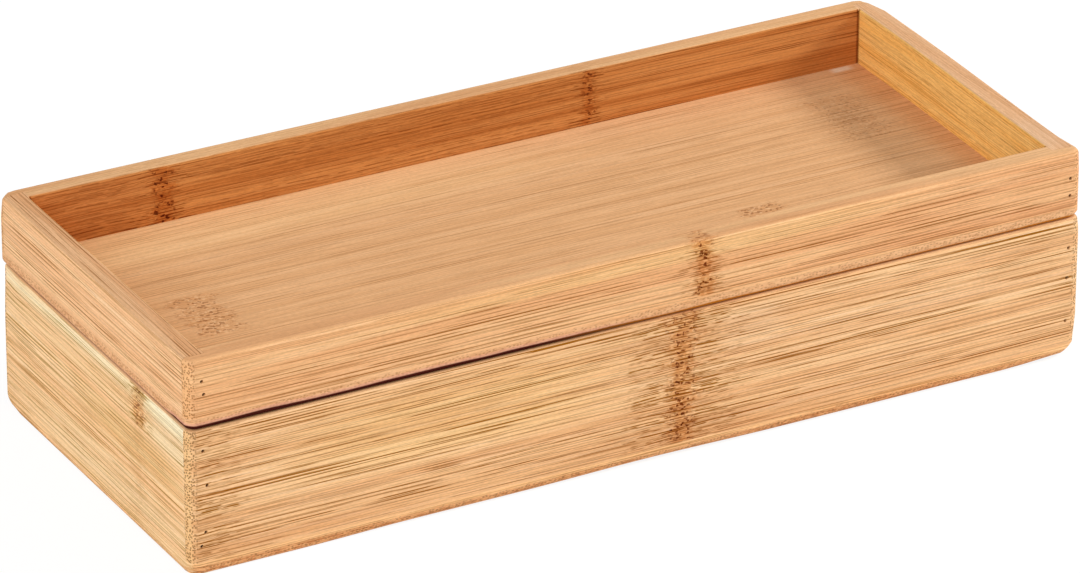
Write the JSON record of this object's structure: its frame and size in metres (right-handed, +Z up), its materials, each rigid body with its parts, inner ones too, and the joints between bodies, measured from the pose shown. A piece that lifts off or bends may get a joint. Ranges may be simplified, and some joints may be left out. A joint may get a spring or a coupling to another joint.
{
  "type": "tea bag box with lift-off tray",
  "caption": "Long low bamboo box for tea bags: a deep open lower box, and a shallow tray that sits on it as its lift-off lid.",
  "frame": {"origin": "middle of the underside, on the surface that the box stands on", "axes": "+X along the long side to the right, +Y to the back, +Z up"},
  "size_m": [0.3, 0.127, 0.0692],
  "materials": {
    "bamboo_long": "satin clear-coated bamboo, fine dark streaks along the length",
    "bamboo_side": "satin clear-coated bamboo, paler, with dense streaks",
    "bamboo_base": "smooth satin bamboo sheet, soft wide grain",
    "bamboo_cleat": "planed bamboo strip",
    "brad_steel": "dull steel wire, darkened in its hole"
  },
  "bodies": {
    "lower_box": {"box_base_board": "bamboo_base", "box_front_board": "bamboo_long", "box_back_board": "bamboo_long", "box_left_board": "bamboo_side", "box_right_board": "bamboo_side", "box_front_brads": "brad_steel", "box_back_brads": "brad_steel", "box_base_brads": "brad_steel"},
    "tray": {"tray_base_board": "bamboo_base", "tray_front_board": "bamboo_long", "tray_back_board": "bamboo_long", "tray_left_board": "bamboo_side", "tray_right_board": "bamboo_side", "tray_front_cleat": "bamboo_cleat", "tray_back_cleat": "bamboo_cleat", "tray_left_cleat": "bamboo_cleat", "tray_right_cleat": "bamboo_cleat", "tray_front_brads": "brad_steel", "tray_back_brads": "brad_steel", "tray_base_brads": "brad_steel"}
  },
  "joints": [
    {"name": "tray_lift", "type": "slide", "parent": "lower_box", "child": "tray", "axis": [0, 0, 1], "range_m": [0, 0.09]}
  ]
}
